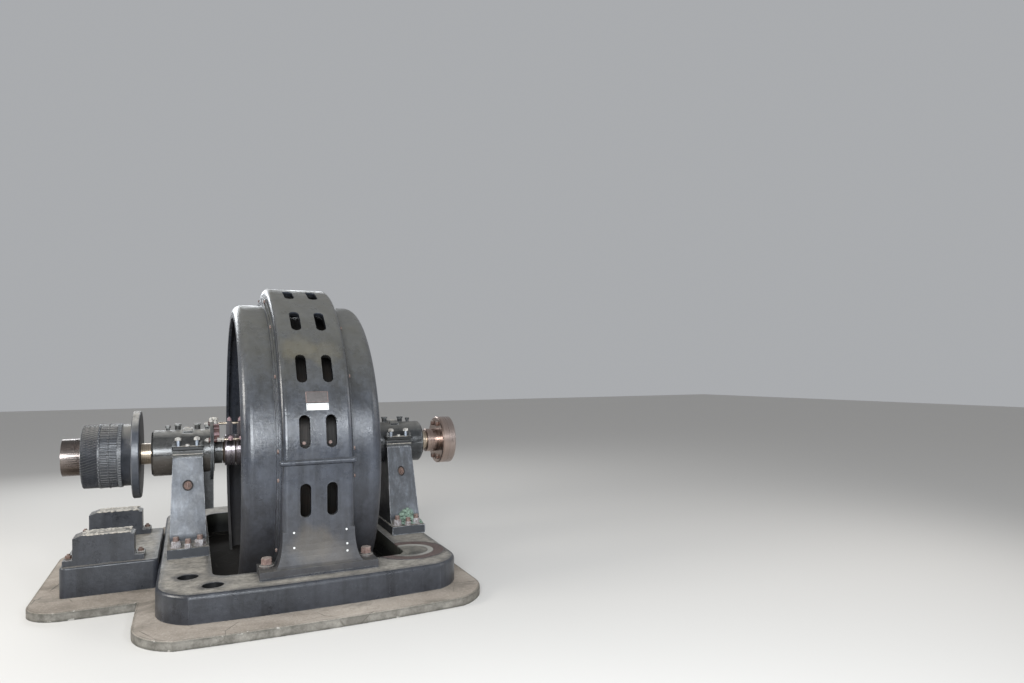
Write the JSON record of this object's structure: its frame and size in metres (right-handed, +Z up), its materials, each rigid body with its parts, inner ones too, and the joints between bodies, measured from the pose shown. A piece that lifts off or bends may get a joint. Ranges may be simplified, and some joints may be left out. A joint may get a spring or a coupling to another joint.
{
  "type": "hydroelectric generator",
  "caption": "Horizontal alternator with slotted stator frame on a cast bedplate, two pedestal bearings, an overhung exciter armature and a half coupling.",
  "frame": {"origin": "on the floor, under the middle of the stator and the shaft", "axes": "+X along the shaft to the coupling, +Y to the back, +Z up"},
  "size_m": [3.196, 3.522, 2.3],
  "materials": {
    "concrete": "dusty, worn",
    "frame_paint": "satin dark grey paint, oily and dusty",
    "pedestal_paint": "worn light blue-grey paint",
    "housing_paint": "oily black-grey paint",
    "bed_paint": "dark grey paint under dust",
    "laminations": "dark varnished sheet steel",
    "taped_coils": "varnished cotton tape",
    "rotor_iron": "dusty cast iron",
    "field_copper": "varnished copper",
    "bright_steel": "turned, oily",
    "ring_metal": "polished by brushes",
    "insulation": "dark pressed insulation",
    "brush_metal": "oxidised",
    "bearing_metal": "bearing bronze",
    "exciter_iron": "oily black",
    "exciter_coils": "black varnished canvas and wire",
    "commutator_copper": "polished copper, brown oxide",
    "coupling_steel": "turned, reddish-brown oxide"
  },
  "bodies": {
    "stand": {"plinth": "concrete", "bedplate": "bed_paint", "stator_frame_lower": "frame_paint", "stator_frame_upper": "frame_paint", "split_beads": "frame_paint", "end_cover_left": "frame_paint", "end_cover_right": "frame_paint", "stator_core": "laminations", "core_clamp_rings": "rotor_iron", "stator_winding_left": "taped_coils", "stator_winding_right": "taped_coils", "brush_yoke": "housing_paint", "brush_rods": "bright_steel", "brush_holders": "brush_metal", "bearing_pedestal_left": "pedestal_paint", "bearing_pedestal_right": "pedestal_paint", "bearing_base_left": "housing_paint", "bearing_base_right": "housing_paint", "bearing_cap_left": "housing_paint", "bearing_cap_right": "housing_paint", "bearing_bush_left": "bearing_metal", "bearing_bush_right": "bearing_metal", "oil_lids_left": "housing_paint", "oil_lids_right": "housing_paint", "exciter_bed": "bed_paint", "exciter_foot_front": "bed_paint", "exciter_foot_rear": "bed_paint"},
    "rotor": {"shaft": "bright_steel", "rotor_hub": "rotor_iron", "rotor_arms": "rotor_iron", "rotor_rim": "rotor_iron", "rotor_poles": "laminations", "field_coils": "field_copper", "slip_ring_sleeve": "insulation", "slip_rings": "ring_metal", "exciter_flange": "exciter_iron", "exciter_core": "exciter_iron", "exciter_winding": "exciter_coils", "binding_bands": "exciter_coils", "commutator": "commutator_copper", "coupling_half": "coupling_steel"}
  },
  "joints": [
    {"name": "rotor_spin", "type": "hinge", "parent": "stand", "child": "rotor", "pos_m": [0, 0, 0.97], "axis": [1, 0, 0], "continuous": true}
  ]
}
